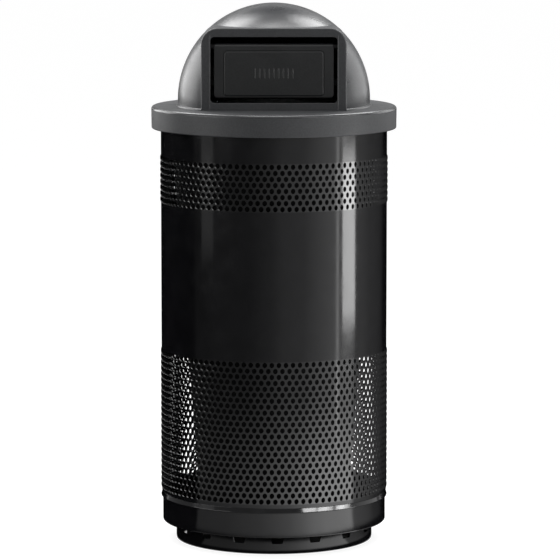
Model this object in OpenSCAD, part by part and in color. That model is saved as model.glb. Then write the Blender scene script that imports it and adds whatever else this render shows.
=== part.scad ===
// Dome top waste receptacle: a perforated steel drum on a ring foot, a rigid liner that hangs
// inside it, and a lift-off dome lid with a hood and a push door. All sizes are in millimetres.
// The origin is the centre of the foot on the floor, +Z is up and the door faces -Y.

/* [Drum] */
// Outside diameter of the drum sheet
drum_d = 468; // [456:1:480]
// Height of the drum sheet
drum_h = 797; // [740:1:860]
// Thickness of the drum sheet
drum_wall = 2; // [1.5:0.1:3]

/* [Perforation] */
// Diameter of one hole
hole_d = 20; // [14:1:23]
// Distance between holes round the drum
hole_pitch = 40.8; // [38:0.2:60]
// Height from one row of holes to the next
row_pitch = 33; // [31:0.5:45]
// Plain sheet from the top edge of the drum to the upper band of holes
upper_margin = 97.5; // [60:0.5:120]
// Height of the upper band of holes
upper_band_h = 94.5; // [60:0.5:140]
// Plain sheet from the bottom edge of the drum to the lower band of holes
lower_margin = 7; // [6:0.5:30]
// Height of the lower band of holes
lower_band_h = 290.5; // [200:0.5:340]

/* [Rim hoop] */
// Thickness of the hoop that caps the drum and carries the liner
hoop_wall = 2; // [1.5:0.5:3]
// Depth of the lip outside the drum
hoop_lip_h = 12; // [8:1:20]
// Depth of the leg inside the drum
hoop_leg_h = 26; // [24:1:40]
// Depth of the liner ledge below the top of the hoop
ledge_drop = 21; // [20:0.5:24]
// Width of the liner ledge
ledge_w = 12; // [11.5:0.5:16]

/* [Base] */
// Distance from the side of the drum in to the side of the ring foot
foot_inset = 30; // [28:1:60]
// Height of the ring foot
foot_h = 40; // [34:1:60]
// Thickness of the ring foot
foot_wall = 3; // [2:0.5:5]
// Width of the flange that the ring foot stands on
foot_flange_w = 14; // [8:1:30]
// Number of vents in the ring foot
vent_count = 16; // [8:1:20]
// Width of a vent at its open top
vent_top_w = 33; // [24:1:40]
// Width of a vent at its bottom
vent_bottom_w = 21; // [12:1:24]
// Depth of a vent
vent_depth = 19; // [10:1:24]
// Turn of the vents from the front, in degrees
vent_turn = 2; // [0:0.5:11]
// Visible height of the base skirt, below the trim hoop
skirt_h = 51; // [40:1:80]
// Thickness of the base skirt
skirt_wall = 2; // [1.5:0.5:3]
// Width of the flange under the floor plate
skirt_flange_w = 22; // [18:1:23]
// Height of the trim hoop
trim_h = 10; // [8:0.5:14]
// How far the trim hoop stands out from the skirt
trim_out = 3.6; // [2.5:0.1:5]
// Groove between the trim hoop and the drum
groove_h = 2.5; // [1.5:0.5:5]
// Height of the skirt inside the drum
skirt_lap = 5; // [3:0.5:6]
// Thickness of the floor plate
plate_t = 3; // [2:0.5:6]
// Diameter of the drain hole in the floor plate
drain_d = 30; // [16:1:50]
// Diameter of the anchor holes in the floor plate
anchor_hole_d = 11; // [8:0.5:14]
// Distance from the side of the ring foot in to the anchor holes
anchor_inset = 84; // [50:1:110]

/* [Liner] */
// Height of the liner above the floor plate
liner_clear = 16.8; // [5:0.1:60]
// How far the side of the liner draws in from its rim to its bottom
liner_taper = 61.3; // [20:0.1:80]
// Thickness of the liner wall
liner_wall = 3; // [2:0.5:5]
// Thickness of the liner rim
liner_rim_t = 4; // [3:0.5:6]
// Radius round the bottom of the liner
liner_corner_r = 16; // [8:1:24]
// Length of a hand hole in the liner
grip_w = 90; // [70:1:110]
// Height of a hand hole in the liner
grip_h = 22; // [18:1:30]
// Distance from the rim to the middle of a hand hole
grip_drop = 40; // [30:1:70]

/* [Lid] */
// How far the brim stands out past the drum
brim_over = 19.5; // [15:0.5:35]
// Depth of the brim skirt
brim_h = 45.6; // [36:0.2:60]
// Thickness of the lid sheet
lid_wall = 2.2; // [1.8:0.1:3]
// Radius round the top edge of the brim
brim_r = 4; // [3:0.5:8]
// How far the brim skirt draws in towards its hem
brim_draft = 2; // [0:0.5:4]
// Diameter of the hem at the bottom of the brim
hem_d = 4; // [3:0.5:6]
// Height of the collar that locates the dome on the brim
collar_h = 10; // [6:1:14]
// Width of the brim left inside the hood, behind its face
shelf_w = 14; // [8:1:18]
// Depth of the ring under the brim that locates the lid in the drum
ring_h = 14; // [8:1:16]
// Width of the flat brim beside the dome
brim_ledge = 55; // [44:0.5:64]
// Height of the centre of the dome above the brim
dome_rise = 13.5; // [5:0.5:30]
// Thickness of the dome
dome_wall = 2; // [1.5:0.5:3]
// Width of the weld bead round the foot of the dome
bead_w = 4; // [2:0.5:6]

/* [Hood] */
// Distance from the side of the dome in to the side of the hood
dome_shoulder = 50.5; // [44:0.5:58]
// Radius of the top corners of the hood
hood_r = 35; // [28:1:42]
// How far the round corners of the hood reach past the outline of the dome
corner_out = 1; // [0.5:0.1:3]
// Distance from the front of the dome back to the face of the hood
face_setback = 62.5; // [56:0.5:68]
// Thickness of the hood
hood_wall = 2; // [1.5:0.5:3]
// Width of the face beside the opening
cheek_w = 19; // [17:0.5:24]
// Height of the face above the opening
header_h = 18.5; // [14:0.5:26]
// Height of the sill below the opening
sill_h = 15.5; // [12:0.5:18]
// Radius of the corners of the opening
mouth_r = 8; // [4:1:14]
// Depth of the lip turned in round the opening
lip_d = 2; // [1:0.5:2.5]

/* [Door] */
// Gap between the door and each side of the opening
door_side_gap = 7.2; // [4:0.2:9]
// Gap between the door and the sill
door_sill_gap = 10; // [5:0.5:14]
// Gap between the door and the top of the opening
door_top_gap = 13.4; // [8:0.2:18]
// Setback of the door behind the face of the hood
door_setback = 5; // [4:0.5:7]
// Thickness of the door sheet
door_wall = 2; // [1.5:0.1:3]
// Depth of the door edges turned in
door_depth = 14; // [12:1:18]
// Radius of the lower corners of the door
door_r = 7; // [3:0.5:12]
// Distance from the side of the door in to the raised panel
panel_side = 22; // [12:0.5:40]
// Distance from the upper edge of the flat sheet down to the raised panel
panel_drop = 9.4; // [9:0.2:24]
// Height from the bottom of the door to the raised panel
panel_rise = 5.3; // [4.5:0.1:12]
// Radius of the corners of the raised panel
panel_r = 6; // [3:0.5:12]
// How far the raised panel stands out
panel_out = 1.2; // [0.5:0.1:2]
// Width of the groove round the raised panel
panel_groove_w = 3; // [1.5:0.5:4]
// Depth of the groove round the raised panel
panel_groove_d = 1; // [0.5:0.1:1.2]

/* [Hinge] */
// Diameter of the hinge rod
rod_d = 8; // [6:0.5:8.5]
// Outside diameter of the rolled edge that takes the rod
knuckle_d = 13; // [12.5:0.5:15]
// Wall of a bush between the rod and the rolled edge
bush_wall = 0.95; // [0.8:0.05:1]
// Length of a bush in the rolled edge
bush_l = 14; // [8:1:24]
// Thickness of the flange of a bush
bush_flange_t = 1.5; // [1:0.5:3]
// Thickness of a hinge bracket
bracket_t = 2.5; // [2:0.5:3]
// Height of the ear that holds the rod
ear_h = 26; // [22:1:30]
// Height of the bracket flange on the hood
bracket_h = 44; // [36:1:50]
// Height of the bracket flange above the rod
bracket_rise = 8; // [4:1:9]
// Diameter of the cap on the end of the rod
cap_d = 12; // [11:0.5:13]
// Length of the cap
cap_l = 5; // [4:0.5:6]
// Diameter of a rubber bumper
bumper_d = 10; // [8:0.5:11]
// Thickness of the stop tab on the door
stop_t = 2; // [1.5:0.5:3]
// Height of the stop tab
stop_h = 14; // [10:1:20]
// Height of the stop tab above the bottom of the door
stop_rise = 24; // [16:1:34]

/* [Clearances] */
// Gap at a welded or rolled seam between round pieces
weld_gap = 0.2; // [0.1:0.05:0.4]
// Gap where one piece rests on another that lifts off
seat_gap = 0.3; // [0.2:0.1:0.5]
// Play between the lid ring and the rim hoop, and between the liner and its seat
lift_play = 1.5; // [1:0.1:1.8]
// Running clearance on a radius of the hinge
run_gap = 0.08; // [0.05:0.01:0.15]
// Gap at each end of the door, between its bush and the bracket
end_gap = 0.4; // [0.3:0.1:1]

/* [Hidden] */
$fn = 96;
past = 1; // how far a cut runs past a face

// Finishes
gloss_black = "#1b1b1c";
lid_charcoal = "#4a4b4d";
face_charcoal = "#343537";
liner_black = "#232425";
zinc = "#b9bcc0";
nylon = "#e3e0d6";
rubber = "#101011";

// Base and drum, from the floor up
drum_r = drum_d / 2;
foot_r = drum_r - foot_inset;
anchor_r = foot_r - anchor_inset;
drum_in_r = drum_r - drum_wall;
plate_z = foot_h;
skirt_r = drum_in_r - weld_gap;
skirt_z = foot_h - skirt_wall;
trim_z = skirt_z + skirt_h;
drum_z = trim_z + trim_h + groove_h;
skirt_top = drum_z + skirt_lap;
skirt_bend_r = 6;
drum_top = drum_z + drum_h;

// Rim hoop, liner and lid ring
hoop_top = drum_top + hoop_wall;
hoop_r = drum_in_r - weld_gap;
hoop_in_r = hoop_r - hoop_wall;
ledge_r = hoop_in_r - ledge_w;
ledge_top = hoop_top - ledge_drop;
ring_r = hoop_in_r - lift_play;
ring_in_r = ring_r - lid_wall;
liner_top_r = ledge_r - lift_play;
liner_rim_r = ring_in_r - lift_play;
liner_rim_z = ledge_top + seat_gap;
liner_top = liner_rim_z + liner_rim_t;
liner_z = plate_z + plate_t + liner_clear;
liner_bottom_r = liner_top_r - liner_taper;
liner_draft = liner_taper / (liner_rim_z - liner_z);

// Lid
brim_r_out = drum_r + brim_over;
dome_r = brim_r_out - brim_ledge;
plate_under = hoop_top + seat_gap;
brim_top = plate_under + lid_wall;
brim_bottom = brim_top - brim_h;
dome_z = brim_top + dome_rise;
dome_in_r = dome_r - dome_wall;
dome_foot_r = sqrt(dome_r * dome_r - dome_rise * dome_rise);
collar_r = sqrt(dome_in_r * dome_in_r - dome_rise * dome_rise) - weld_gap;
brim_hole_r = collar_r - lid_wall;

// Hood, in front of the dome. It is as high as puts its round corners corner_out past the dome
hood_w = 2 * (dome_r - dome_shoulder);
corner_reach = dome_r + corner_out - hood_r;
corner_rise = sqrt(pow(corner_reach, 2) - pow(hood_w / 2 - hood_r, 2));
hood_h = dome_rise + corner_rise + hood_r;
hood_y = dome_r - face_setback;
face_y = -hood_y;
face_back = face_y + hood_wall;
mouth_w = hood_w - 2 * cheek_w;
mouth_h = hood_h - sill_h - header_h;
mouth_z = brim_top + sill_h;
mouth_top = mouth_z + mouth_h;
hood_end_y = -12;
dome_cut_end_y = -30;

// Door and hinge
door_w = mouth_w - 2 * door_side_gap;
door_z = mouth_z + door_sill_gap;
door_top = mouth_top - door_top_gap;
door_front = face_y + door_setback;
knuckle_r = knuckle_d / 2;
axis_y = door_front + knuckle_r;
axis_z = door_top - knuckle_r;
pan_h = axis_z - door_z - 1;
panel_w = door_w - 2 * panel_side;
panel_h = pan_h - panel_rise - panel_drop;
rod_r = rod_d / 2;
bush_in_r = rod_r + run_gap;
bush_r = bush_in_r + bush_wall;
knuckle_in_r = bush_r + weld_gap / 2;
ear_x = mouth_w / 2 + hood_wall + 0.5;
cap_x = ear_x + bracket_t;
rod_l = 2 * (cap_x + cap_l - 2);
bush_flange_x = ear_x - end_gap - bush_flange_t;
stop_x = mouth_w / 2 + hood_wall;
stop_y = door_front + 9.5;
stop_z = door_z + stop_rise;
bumper_x = (stop_x + hood_w / 2 - hood_wall) / 2 + 0.5;
stop_end_x = min(bumper_x + bumper_d / 2, hood_w / 2 - hood_wall - 1.5);

// ---- Shared shapes ----

// Ring wall standing on z = 0
module ring(r, wall, h) {
    difference() {
        cylinder(r = r, h = h);
        translate([0, 0, -past]) cylinder(r = r - wall, h = h + 2 * past);
    }
}

// Rectangle with round corners, standing on y = 0 and centred on x = 0
module round_rect(w, h, r) {
    translate([-w / 2, r]) square([w, h - 2 * r]);
    translate([-w / 2 + r, 0]) square([w - 2 * r, h]);
    for (x = [-1, 1], y = [r, h - r]) translate([x * (w / 2 - r), y]) circle(r = r);
}

// Rectangle whose top corners are round
module arch(w, h, r) {
    translate([-w / 2, 0]) square([w, h - r]);
    translate([-w / 2 + r, 0]) square([w - 2 * r, h]);
    for (x = [-1, 1]) translate([x * (w / 2 - r), h - r]) circle(r = r);
}

// Rectangle whose bottom corners are round
module tray(w, h, r) {
    translate([-w / 2, r]) square([w, h - r]);
    translate([-w / 2 + r, 0]) square([w - 2 * r, h]);
    for (x = [-1, 1]) translate([x * (w / 2 - r), r]) circle(r = r);
}

// Stands an outline up in the XZ plane and gives it a depth from y back
module upright(y, depth) {
    translate([0, y + depth, 0]) rotate([90, 0, 0]) linear_extrude(depth) children();
}

// A rod along X at the hinge axis
module on_axis(x, l, r) {
    translate([x, axis_y, axis_z]) rotate([0, 90, 0]) cylinder(r = r, h = l);
}

function arc(cx, cy, r, from, to, steps) =
    [for (i = [0:steps]) let (a = from + (to - from) * i / steps) [cx + r * cos(a), cy + r * sin(a)]];

// ---- Base and drum ----

// Staggered rows of round holes that fill a band of the drum
module hole_band(z, h) {
    rows = floor((h - hole_d) / row_pitch + 0.001) + 1;
    columns = floor(PI * drum_d / hole_pitch);
    first = z + (h - (rows - 1) * row_pitch) / 2;
    for (row = [0:rows - 1], column = [0:columns - 1])
        rotate([0, 0, (column + (row % 2) / 2) * 360 / columns])
            translate([drum_in_r - 4 * past, 0, first + row * row_pitch])
                rotate([0, 90, 0]) cylinder(d = hole_d, h = drum_wall + 8 * past);
}

module drum() {
    color(gloss_black) difference() {
        translate([0, 0, drum_z]) ring(drum_r, drum_wall, drum_h);
        hole_band(drum_z + lower_margin, lower_band_h);
        hole_band(drum_top - upper_margin - upper_band_h, upper_band_h);
    }
}

// Caps the edge of the drum, and carries the liner on a ledge inside it
module rim_hoop() {
    lip_r = drum_r + weld_gap;
    color(gloss_black) rotate_extrude() {
        translate([hoop_in_r, drum_top]) square([lip_r + hoop_wall - hoop_in_r, hoop_wall]);
        translate([lip_r, hoop_top - hoop_lip_h]) square([hoop_wall, hoop_lip_h]);
        translate([hoop_in_r, hoop_top - hoop_leg_h]) square([hoop_wall, hoop_leg_h]);
        translate([ledge_r, ledge_top - hoop_wall]) square([ledge_w + past / 2, hoop_wall]);
    }
}

// Outline of the skirt's outside, or of its inside when drawn in by t
module skirt_outline(t) {
    square([skirt_r - skirt_bend_r, skirt_top - skirt_z + t]);
    translate([0, skirt_bend_r]) square([skirt_r - t, skirt_top - skirt_z - skirt_bend_r + t]);
    translate([skirt_r - skirt_bend_r, skirt_bend_r]) circle(r = skirt_bend_r - t);
}

// Spun skirt that stands inside the drum, and turns in under the floor plate
module base_skirt() {
    color(gloss_black) translate([0, 0, skirt_z]) rotate_extrude() difference() {
        skirt_outline(0);
        translate([0, skirt_wall]) square([skirt_r - skirt_bend_r, skirt_top]);
        skirt_outline(skirt_wall);
        square([2 * (skirt_r - skirt_flange_w), 2 * skirt_top], center = true);
    }
}

// Flared hoop round the skirt, with a round lower edge
module trim_hoop() {
    nose_r = trim_out / 2;
    in_r = skirt_r + weld_gap;
    color(gloss_black) translate([0, 0, trim_z]) rotate_extrude() {
        polygon([
            [in_r, nose_r], [in_r + trim_out - weld_gap, nose_r],
            [in_r + nose_r / 2, trim_h], [in_r, trim_h]
        ]);
        translate([in_r + trim_out - weld_gap - nose_r, nose_r]) circle(r = nose_r);
    }
}

// Round plate with a drain hole and four holes for floor anchors
module floor_plate() {
    plate_r = skirt_r - skirt_bend_r - weld_gap;
    color(gloss_black) difference() {
        translate([0, 0, plate_z]) cylinder(r = plate_r, h = plate_t);
        translate([0, 0, plate_z - past]) cylinder(d = drain_d, h = plate_t + 2 * past);
        for (a = [45:90:315])
            rotate([0, 0, a]) translate([anchor_r, 0, plate_z - past])
                cylinder(d = anchor_hole_d, h = plate_t + 2 * past);
    }
}

// Ring foot with tapered vents that are open at its top, under the floor plate
module ring_foot() {
    color(gloss_black) rotate([0, 0, vent_turn]) difference() {
        rotate([0, 0, 180 / vent_count]) rotate_extrude() {
            translate([foot_r - foot_wall, 0]) square([foot_wall, foot_h]);
            translate([foot_r - foot_flange_w, 0]) square([foot_flange_w, foot_wall]);
        }
        for (i = [0:vent_count - 1])
            rotate([0, 0, i * 360 / vent_count])
                translate([0, -foot_r + foot_wall + past, foot_h]) rotate([90, 0, 0])
                    linear_extrude(foot_wall + 2 * past) polygon([
                        [-vent_top_w / 2, past], [vent_top_w / 2, past],
                        [vent_top_w / 2, 0], [vent_bottom_w / 2, -vent_depth],
                        [-vent_bottom_w / 2, -vent_depth], [-vent_top_w / 2, 0]
                    ]);
    }
}

// ---- Liner ----

// Outline of the liner's outside, or of its inside when drawn in by t
function liner_outline(t) = let (
        c = liner_corner_r - t,
        bottom = liner_z + t,
        side = liner_bottom_r - t
    ) concat(
        [[0, bottom]],
        arc(side - c, bottom + c, c, -90, 0, 6),
        [[side + liner_draft * (liner_rim_z - liner_z - c), liner_rim_z]]
    );

// Tapered rigid liner that hangs by its rim, with two hand holes
module liner() {
    inside_top_r = liner_top_r - liner_wall;
    grip_z = liner_rim_z - grip_drop;
    color(liner_black) difference() {
        rotate_extrude() polygon(concat(
            liner_outline(0),
            [[liner_rim_r, liner_rim_z], [liner_rim_r, liner_top], [0, liner_top]]
        ));
        rotate_extrude() polygon(concat(
            liner_outline(liner_wall),
            [[inside_top_r, liner_rim_z + past], [inside_top_r, liner_top + past], [0, liner_top + past]]
        ));
        for (side = [-1, 1]) {
            for (end = [-1, 1])
                translate([0, end * (grip_w - grip_h) / 2, grip_z]) rotate([0, side * 90, 0])
                    cylinder(d = grip_h, h = liner_rim_r);
            translate([side * liner_rim_r / 2, 0, grip_z])
                cube([liner_rim_r, grip_w - grip_h, grip_h], center = true);
        }
    }
}

// ---- Lid ----

// Outline of the brim's outside, or of its inside when drawn in by t
module brim_outline(t) {
    edge_r = brim_r_out - brim_r;
    bottom = brim_bottom + hem_d / 2;
    polygon([
        [0, bottom], [brim_r_out - brim_draft - t, bottom], [brim_r_out - t, brim_top - brim_r],
        [0, brim_top - brim_r]
    ]);
    translate([0, bottom]) square([edge_r, brim_top - t - bottom]);
    translate([edge_r, brim_top - brim_r]) circle(r = brim_r - t);
}

// Flat brim with a skirt, a round edge and a rolled hem. It runs on under the hood as far as a
// shelf behind the face, and a collar on it locates the dome
module lid_brim() {
    color(lid_charcoal) {
        rotate_extrude() {
            difference() {
                brim_outline(0);
                brim_outline(lid_wall);
                square([brim_r_out, 2 * brim_bottom + hem_d - past], center = true);
                square([2 * brim_hole_r, 3 * brim_top], center = true);
            }
            translate([brim_r_out - brim_draft - hem_d / 2, brim_bottom + hem_d / 2]) circle(d = hem_d);
        }
        translate([0, 0, plate_under]) intersection() {
            cylinder(r = brim_hole_r + past, h = lid_wall);
            translate([-brim_r_out, -2 * brim_r_out, 0])
                cube([2 * brim_r_out, 2 * brim_r_out + face_back + shelf_w, lid_wall]);
        }
        difference() {
            translate([0, 0, plate_under]) ring(collar_r, lid_wall, lid_wall + collar_h);
            translate([-brim_r_out, -2 * brim_r_out, brim_top])
                cube([2 * brim_r_out, 2 * brim_r_out + face_back + 2 * hood_wall, 2 * collar_h]);
        }
    }
}

// Ring welded under the brim that drops inside the rim hoop
module lid_ring() {
    color(zinc) translate([0, 0, plate_under - ring_h]) ring(ring_r, lid_wall, ring_h);
}

// Outline of the hood's outside, or of its inside when drawn in by t
module hood_outline(t) {
    translate([0, brim_top]) arch(hood_w - 2 * t, hood_h - t, hood_r - t);
}

// Half ball on the brim, cut away inside the hood, with its weld bead
module dome() {
    color(lid_charcoal) difference() {
        union() {
            intersection() {
                translate([0, 0, dome_z]) sphere(r = dome_r);
                translate([-dome_r, -dome_r, brim_top]) cube([2 * dome_r, 2 * dome_r, 2 * dome_r]);
            }
            translate([0, 0, brim_top])
                cylinder(r1 = dome_foot_r + bead_w, r2 = dome_foot_r, h = bead_w / 2);
        }
        translate([0, 0, dome_z]) sphere(r = dome_in_r);
        translate([0, 0, -past]) upright(-2 * hood_y, 2 * hood_y + dome_cut_end_y)
            hood_outline(hood_wall);
        translate([0, 0, -past]) upright(-2 * hood_y, hood_y + 4)
            translate([0, brim_top]) arch(hood_w + 2 * weld_gap, hood_h, hood_r);
    }
}

// Sheet hood that runs straight back until it meets the dome
module hood() {
    color(face_charcoal) {
        difference() {
            upright(face_y, hood_y + hood_end_y) hood_outline(0);
            translate([0, 0, -past]) upright(face_back, hood_y) hood_outline(hood_wall);
            translate([0, 0, dome_z]) sphere(r = dome_r + weld_gap);
            upright(face_y - past, hood_wall + 2 * past) translate([0, mouth_z])
                round_rect(mouth_w, mouth_h, mouth_r);
        }
        upright(face_y, hood_wall) difference() {
            hood_outline(0);
            translate([0, mouth_z]) round_rect(mouth_w, mouth_h, mouth_r);
        }
        upright(face_y, hood_wall + lip_d) difference() {
            translate([0, mouth_z - hood_wall])
                round_rect(mouth_w + 2 * hood_wall, mouth_h + 2 * hood_wall, mouth_r + hood_wall);
            translate([0, mouth_z]) round_rect(mouth_w, mouth_h, mouth_r);
        }
    }
}

// ---- Hinge and stops ----

// Angle bracket welded behind the face of the hood, with an ear that holds the rod
module hinge_bracket() {
    ear_r = ear_h / 2;
    flange_w = hood_w / 2 - hood_wall - 3 - ear_x;
    color(zinc) difference() {
        union() {
            intersection() {
                on_axis(ear_x, bracket_t, ear_r);
                translate([ear_x, face_back, axis_z - ear_r]) cube([bracket_t, 2 * ear_r, ear_h]);
            }
            translate([ear_x, face_back, axis_z - ear_r]) cube([bracket_t, axis_y - face_back, ear_h]);
            translate([ear_x, face_back, axis_z + bracket_rise - bracket_h])
                cube([flange_w, bracket_t, bracket_h]);
        }
        on_axis(ear_x - past, bracket_t + 2 * past, rod_r + run_gap);
    }
}

module hinge_bracket_left() {
    mirror([1, 0, 0]) hinge_bracket();
}

module hinge_bracket_right() {
    hinge_bracket();
}

module hinge_rod() {
    color(zinc) on_axis(-rod_l / 2, rod_l, rod_r);
}

// Push-on cap with a blind bore
module rod_cap() {
    color(zinc) difference() {
        on_axis(cap_x, cap_l, cap_d / 2);
        on_axis(cap_x - past, cap_l - 2 + past + weld_gap, rod_r + run_gap);
    }
}

module rod_cap_left() {
    mirror([1, 0, 0]) rod_cap();
}

module rod_cap_right() {
    rod_cap();
}

// Rubber bumper behind the face of the hood, which the stop tab of the door rests on
module door_bumper() {
    color(rubber) translate([bumper_x, face_back, stop_z]) rotate([-90, 0, 0])
        cylinder(d = bumper_d, h = stop_y - seat_gap - face_back);
}

module door_bumper_left() {
    mirror([1, 0, 0]) door_bumper();
}

module door_bumper_right() {
    door_bumper();
}

// ---- Door ----

// Pressed door: turned-in edges, a raised panel in a groove, a rolled top edge and stop tabs
module door() {
    panel_z = door_z + panel_rise;
    color(face_charcoal) difference() {
        union() {
            upright(door_front, door_depth) translate([0, door_z]) difference() {
                tray(door_w, pan_h, door_r);
                translate([0, door_wall])
                    tray(door_w - 2 * door_wall, pan_h, door_r - door_wall);
            }
            upright(door_front, door_wall) translate([0, door_z]) tray(door_w, pan_h, door_r);
            upright(door_front - panel_out, panel_out) translate([0, panel_z])
                round_rect(panel_w, panel_h, panel_r);
            on_axis(-door_w / 2, door_w, knuckle_r);
            for (side = [0, 1])
                mirror([side, 0, 0]) translate([door_w / 2 - past, stop_y, stop_z - stop_h / 2])
                    cube([stop_end_x - door_w / 2 + past, stop_t, stop_h]);
        }
        on_axis(-door_w / 2 - past, door_w + 2 * past, knuckle_in_r);
        upright(door_front - past, past + panel_groove_d) translate([0, panel_z - panel_groove_w])
            difference() {
                round_rect(panel_w + 2 * panel_groove_w, panel_h + 2 * panel_groove_w,
                    panel_r + panel_groove_w);
                translate([0, panel_groove_w]) round_rect(panel_w, panel_h, panel_r);
            }
    }
}

// Flanged bush between the rod and the rolled edge of the door
module door_bush() {
    color(nylon) difference() {
        union() {
            on_axis(door_w / 2 - bush_l, bush_flange_x + bush_flange_t - door_w / 2 + bush_l, bush_r);
            on_axis(bush_flange_x, bush_flange_t, knuckle_r);
        }
        on_axis(door_w / 2 - bush_l - past, bush_l + hood_w, bush_in_r);
    }
}

module door_bush_left() {
    mirror([1, 0, 0]) door_bush();
}

module door_bush_right() {
    door_bush();
}

drum();
rim_hoop();
base_skirt();
trim_hoop();
floor_plate();
ring_foot();
liner();
lid_brim();
lid_ring();
dome();
hood();
hinge_bracket_left();
hinge_bracket_right();
hinge_rod();
rod_cap_left();
rod_cap_right();
door_bumper_left();
door_bumper_right();
door();
door_bush_left();
door_bush_right();
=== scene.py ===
# %% [markdown]
# # Dome top waste receptacle
#
# A perforated steel litter bin with a lift-off dome lid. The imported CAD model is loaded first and
# gives every size and place. Each visible sheet is then made again here with what a solid leaves
# out: the punched holes at their real size, the round bends that catch the light, weld beads and
# the skin of the powder coat.

import math

import bpy
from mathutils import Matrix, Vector


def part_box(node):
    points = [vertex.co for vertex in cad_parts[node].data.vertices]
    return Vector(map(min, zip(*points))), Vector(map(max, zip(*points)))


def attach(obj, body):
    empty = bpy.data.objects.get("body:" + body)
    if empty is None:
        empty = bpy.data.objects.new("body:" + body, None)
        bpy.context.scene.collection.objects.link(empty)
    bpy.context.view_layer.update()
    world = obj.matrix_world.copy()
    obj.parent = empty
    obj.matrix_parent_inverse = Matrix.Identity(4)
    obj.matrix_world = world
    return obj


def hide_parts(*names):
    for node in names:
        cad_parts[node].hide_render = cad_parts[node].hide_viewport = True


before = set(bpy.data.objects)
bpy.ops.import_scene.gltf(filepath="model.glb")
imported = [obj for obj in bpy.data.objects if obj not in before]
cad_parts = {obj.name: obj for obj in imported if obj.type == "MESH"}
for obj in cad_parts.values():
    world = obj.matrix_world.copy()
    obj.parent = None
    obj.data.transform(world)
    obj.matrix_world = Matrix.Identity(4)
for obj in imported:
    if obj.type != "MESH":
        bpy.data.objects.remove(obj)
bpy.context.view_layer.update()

# %% [markdown]
# Blender works in metres and the drawings of such a bin are in millimetres, so one value turns
# one into the other. An operator acts on everything that is selected, so each piece starts by
# letting go of whatever is selected. The helpers below do what a hand would do in the window:
# select, open in edit mode, join, merge, cut and slice.

# %% Units and selection
MM = 0.001
WELD = 0.01 * MM
print(f"points closer than {WELD / MM} mm are merged")


def leave_edit():
    """Goes back to object mode."""
    bpy.ops.object.mode_set(mode="OBJECT")


def deselect():
    """Leaves edit mode and lets go of everything."""
    if bpy.context.object and bpy.context.object.mode != "OBJECT":
        leave_edit()
    bpy.ops.object.select_all(action="DESELECT")


def made(name, scale=(1, 1, 1)):
    """Names and sizes the piece that was just added, and writes its place into its mesh."""
    piece = bpy.context.object
    piece.name = name
    piece.scale = scale
    bpy.ops.object.transform_apply(location=True, rotation=True, scale=True)
    return piece


def upright(name, width, low, high, y, x=0):
    """A flat face in the XZ plane, from low to high."""
    deselect()
    bpy.ops.mesh.primitive_plane_add(
        size=1, rotation=(math.pi / 2, 0, 0), location=(x, y, (low + high) / 2)
    )
    return made(name, (width, high - low, 1))


def take(*chosen):
    """Selects just these pieces, with the first one active."""
    deselect()
    for piece in chosen:
        piece.select_set(True)
    bpy.context.view_layer.objects.active = chosen[0]


def join(*chosen):
    """Joins pieces into the first one."""
    take(*chosen)
    bpy.ops.object.join()


def pick(piece, mode, where=None):
    """Opens a piece in edit mode and selects what lies where the test says."""
    take(piece)
    bpy.ops.object.mode_set(mode="EDIT")
    bpy.ops.mesh.select_mode(type=mode)
    bpy.ops.mesh.select_all(action="DESELECT")
    if where is None:
        return
    leave_edit()
    mesh = piece.data
    inside = [where(v.co) for v in mesh.vertices]
    elements = {"VERT": mesh.vertices, "EDGE": mesh.edges, "FACE": mesh.polygons}[mode]
    for element in elements:
        corners = [element.index] if mode == "VERT" else element.vertices
        element.select = all(inside[i] for i in corners)
    bpy.ops.object.mode_set(mode="EDIT")


def pick_all(piece, mode="VERT"):
    """Opens a piece in edit mode with all of it selected."""
    pick(piece, mode)
    bpy.ops.mesh.select_all(action="SELECT")


def apply_modifier(piece, kind, **settings):
    """Adds a modifier with its settings and applies it."""
    take(piece)
    modifier = piece.modifiers.new(kind.title(), kind)
    for name, value in settings.items():
        setattr(modifier, name, value)
    bpy.ops.object.modifier_apply(modifier=modifier.name)


def settle(piece, smooth_angle=35):
    """Brings the object to the origin with its place in its mesh, and smooths its bends."""
    take(piece)
    bpy.ops.object.transform_apply(location=True, rotation=True, scale=True)
    bpy.ops.object.shade_smooth_by_angle(angle=math.radians(smooth_angle))
    apply_modifier(piece, "WEIGHTED_NORMAL", keep_sharp=True)
    piece.data.calc_loop_triangles()
    low, high = (tuple(round(c / MM, 1) for c in piece.bound_box[i]) for i in (0, 6))
    print(f"{piece.name}: {len(piece.data.loop_triangles)} triangles, from {low} to {high} mm")


def merge_doubles(piece):
    """Merges what lies on the same place, and turns the faces outwards."""
    pick_all(piece)
    bpy.ops.mesh.remove_doubles(threshold=WELD)
    bpy.ops.mesh.normals_make_consistent(inside=False)
    leave_edit()


def cut(piece, cutter):
    """Takes the cutter's shape out of a piece and removes the cutter."""
    apply_modifier(piece, "BOOLEAN", operation="DIFFERENCE", object=cutter, solver="EXACT")
    bpy.data.objects.remove(cutter)


def slice_off(piece, point, normal, fill=False):
    """Cuts a piece along a plane and drops the side that the normal points away from."""
    pick_all(piece)
    bpy.ops.mesh.bisect(plane_co=point, plane_no=normal, clear_inner=True, use_fill=fill)
    leave_edit()


def outline_of(piece):
    """Keeps only the outline of a flat face."""
    pick_all(piece)
    bpy.ops.mesh.delete(type="ONLY_FACE")
    leave_edit()
    return piece


# %% [markdown]
# ## Sizes
#
# The places come from the CAD nodes themselves, so a piece can't drift from what it stands for.
# Only what a solid doesn't tell, such as the radius of a bend, is written here.

# %% Read the sizes of the CAD
drum_low, drum_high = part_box("drum")
brim_low, brim_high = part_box("lid_brim")
dome_low, dome_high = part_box("dome")
hood_low, hood_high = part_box("hood")
door_low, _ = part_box("door")
rod_low, rod_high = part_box("hinge_rod")

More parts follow.
